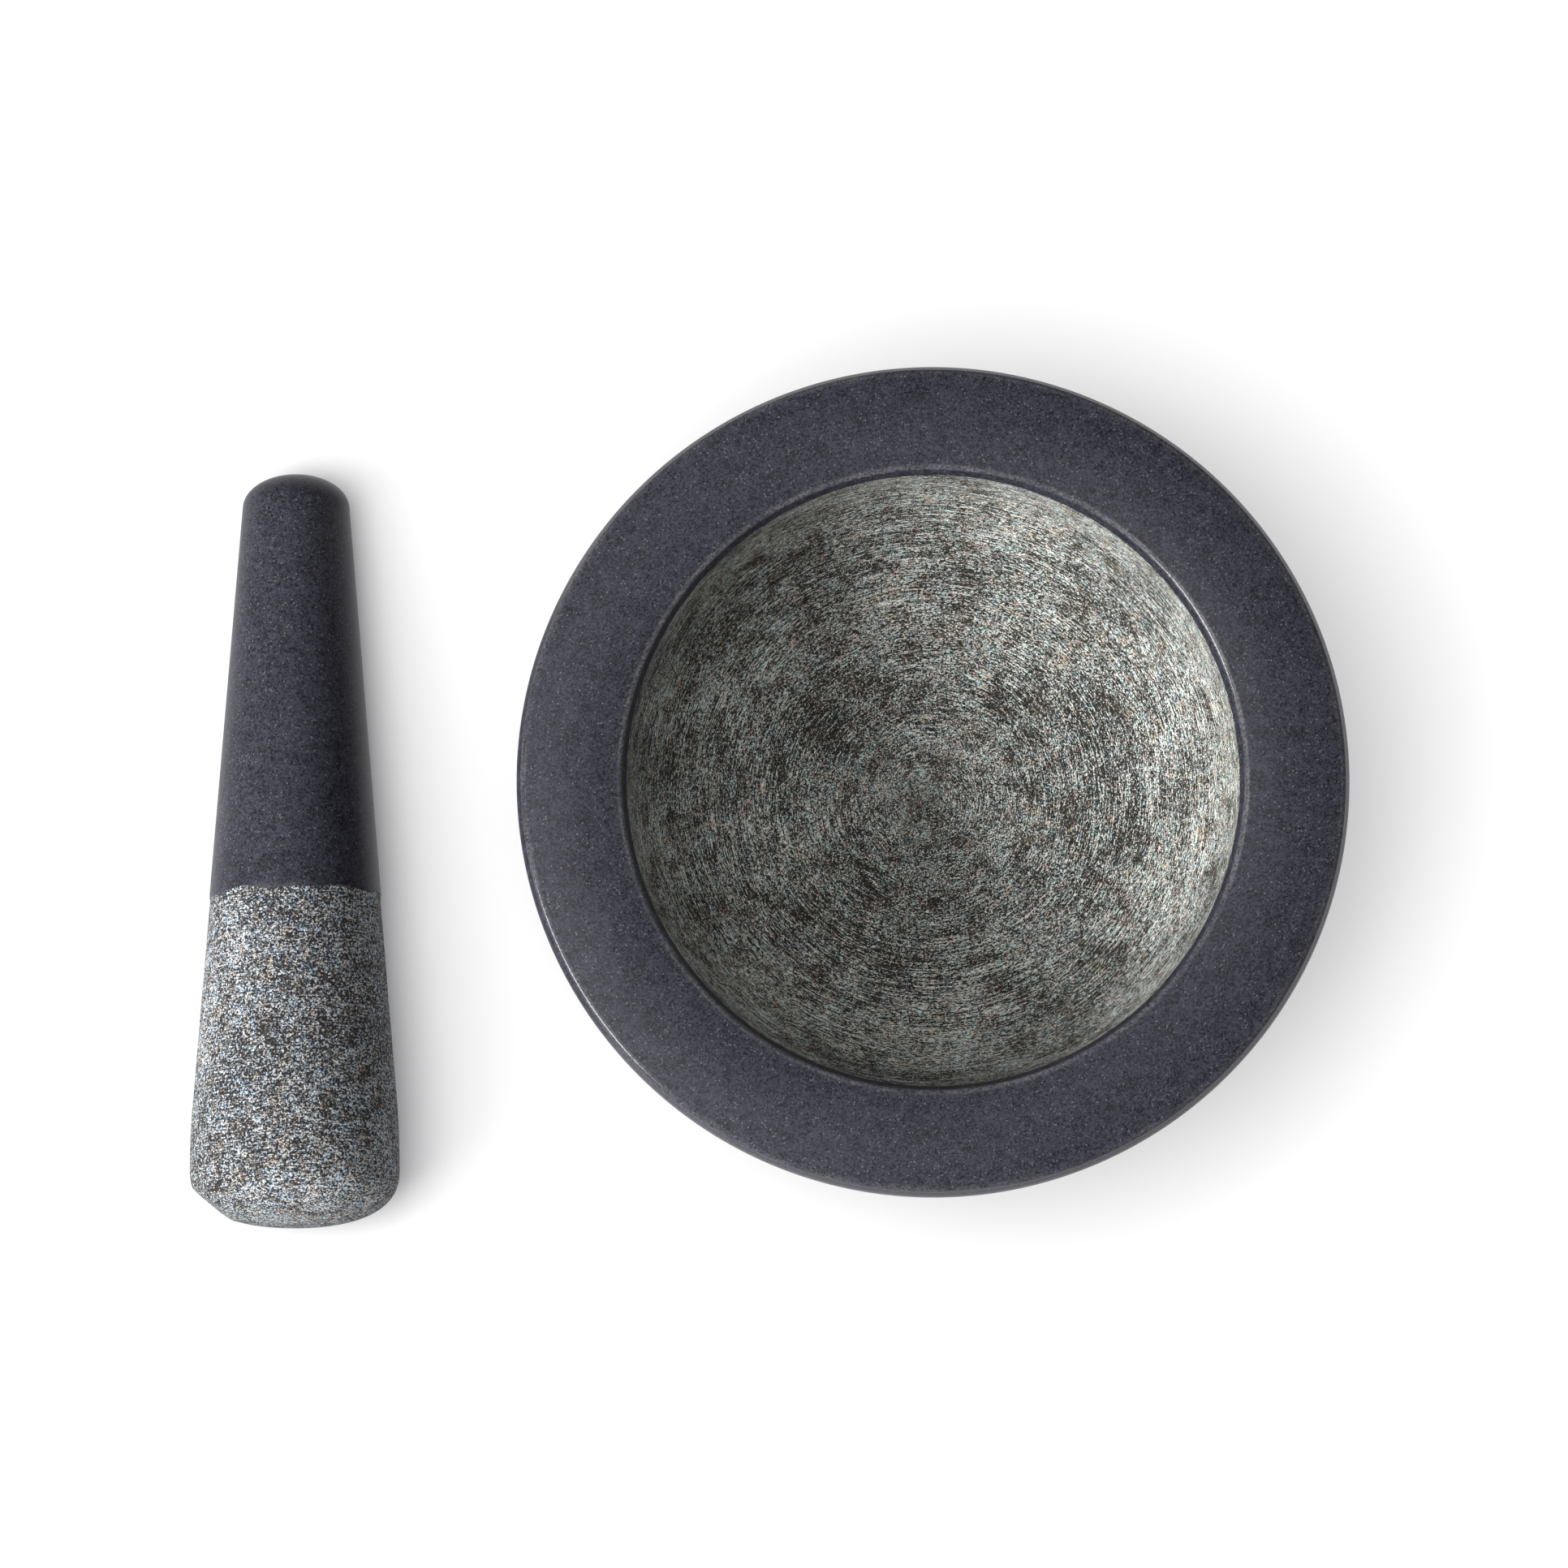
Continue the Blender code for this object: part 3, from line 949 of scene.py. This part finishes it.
# %% Where the pestle lies
slope, _, swell_radius = pestle_taper()
lean = atan(slope)
cone_radius = swell_radius + slope * (HEAD_DOME + HEAD_SWELL)
dome_tip = ((HANDLE_DOME * cos(lean)) ** 2 + (HANDLE_WIDTH / 2 * sin(lean)) ** 2) ** 0.5
resting_place = Vector(
    (
        (pestle_low.x + pestle_high.x) / 2,
        pestle_high.y - dome_tip - (PESTLE_LENGTH - HANDLE_DOME) * cos(lean),
        cone_radius * cos(lean),
    )
)
lay_down = Matrix.Translation(resting_place) @ Matrix.Rotation(-(pi / 2 + lean), 4, "X")
print("the pestle leans", round(lean * 180 / pi, 2), "degrees from its axis")

# %% Turn the pestle
WEAR_FACING = (-0.62, 0.0, -0.78)  # out of the rubbed corner, towards the head's end
WEAR_PLANE = 0.01735  # about how far the rubbed flat lies from the middle of the head's widest circle
pestle = turned(
    "turned_pestle",
    pestle_line,
    pestle_stone,
    lay_down,
    **{
        "Turn Steps": 300,
        "Ground From": honed_run,
        "Ground To": PAST_END,
        "Ring Depth": 0.00002,
        "Grit Size": 0.0007,
        "Wear Facing": WEAR_FACING,
        "Wear Reach": WEAR_PLANE + WEAR_FACING[2] * HEAD_DOME,
        "Seed": 11.0,
    },
)
print("pestle:", len(pestle.data.polygons), "faces,", round(volume(pestle.data), 1), "ml")

# %% [markdown]
# ## Ties to the model
# Each turned stone stands in for one plain node of the model: it hides that node and moves with the same
# body. The printed differences show that it also fills the same box.

# %% Tie the stones to the model
for piece, node in ((mortar, "mortar"), (pestle, "pestle")):
    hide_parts(node)
    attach(piece, node)
    low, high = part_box(node)
    corners = [Vector(corner) for corner in piece.bound_box]
    for axis in range(3):
        ends = (min(c[axis] for c in corners), max(c[axis] for c in corners))
        off = [round((end - corner[axis]) * 1000, 2) for end, corner in zip(ends, (low, high))]
        print(node, "XYZ"[axis], "off the model by, mm:", off)

# %% [markdown]
# ## Table
# The table is plain, white and so wide that its far edge never shows. It glows very slightly, which
# keeps it white without a light so strong that the stones would wash out.

# %% Table
TABLE_REACH = 30.0


def add_table():
    material = bpy.data.materials.new("table_white")
    material.use_nodes = True
    shader = material.node_tree.nodes["Principled BSDF"]
    shader.inputs["Base Color"].default_value = (0.92, 0.92, 0.92, 1.0)
    shader.inputs["Roughness"].default_value = 0.6
    shader.inputs["Emission Color"].default_value = (1.0, 1.0, 1.0, 1.0)
    shader.inputs["Emission Strength"].default_value = 0.04
    mesh = bpy.data.meshes.new("table")
    corners = [(x * TABLE_REACH, y * TABLE_REACH, 0.0) for x, y in ((-1, -1), (1, -1), (1, 1), (-1, 1))]
    mesh.from_pydata(corners, [], [(0, 1, 2, 3)])
    mesh.materials.append(material)
    table = bpy.data.objects.new("table", mesh)
    bpy.context.scene.collection.objects.link(table)
    table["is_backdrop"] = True
    return table


table = add_table()
print("table:", 2 * TABLE_REACH, "m across")

# %% [markdown]
# ## Light
# One large soft key light stands low on the left and near side. It rakes across the stones, so the bowl
# is dark on that side and pale on the other, and the handled edges shine. A weak top light opens the
# shade, and a dim sky keeps the honed rim dark. A low light would throw a long shadow from the mortar,
# so light linking is used: key and top light only the stones, and the table has two lights of its own.
# A high one is shaded by both pieces and a lower one by the pestle alone, which gives the tall mortar
# and the low pestle shadows of about the same length.

# %% Lights
LIGHT_DISTANCE = 1.5


def gather(name, things):
    """A collection that a light can be tied to."""
    collection = bpy.data.collections.new(name)
    for thing in things:
        collection.objects.link(thing)
    return collection


def add_soft_light(name, turn, rise, size, watts, only, shaded_by=()):
    """A square soft light at a compass turn (from +X) and a rise, that lights only some of the things."""
    light = bpy.data.lights.new(name, "AREA")
    light.size = size
    light.energy = watts
    holder = bpy.data.objects.new(name, light)
    back = Vector((cos(rise) * cos(turn), cos(rise) * sin(turn), sin(rise)))
    holder.location = Vector((0.0, 0.0, mortar_high.z / 2)) + back * LIGHT_DISTANCE
    holder.rotation_euler = (-back).to_track_quat("-Z", "Y").to_euler()
    bpy.context.scene.collection.objects.link(holder)
    holder.light_linking.receiver_collection = gather(name + "_lights", only)
    if shaded_by:
        holder.light_linking.blocker_collection = gather(name + "_shaded_by", shaded_by)
    return holder


add_soft_light("key", radians(206), radians(30), 0.68, 56.0, (mortar, pestle))
add_soft_light("top", radians(190), radians(72), 0.60, 7.5, (mortar, pestle))
add_soft_light("table_wash", radians(203), radians(76), 0.80, 13.5, (table,), (mortar, pestle))
add_soft_light("table_fill", radians(203), radians(45), 0.80, 8.5, (table,), (pestle,))

# %% Sky
world = bpy.data.worlds.new("room")
world.use_nodes = True
world.node_tree.nodes["Background"].inputs["Color"].default_value = (0.50, 0.50, 0.51, 1.0)
bpy.context.scene.world = world
bpy.context.scene.view_settings.view_transform = "Standard"
print("sky:", world.name)

# %% Compare the visible box with the model's
visible_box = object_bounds()
for name, seen, model in zip(("low", "high"), visible_box, cad_box):
    print("visual less model,", name, "corner, mm:", [round(d * 1000, 2) for d in seen - model])
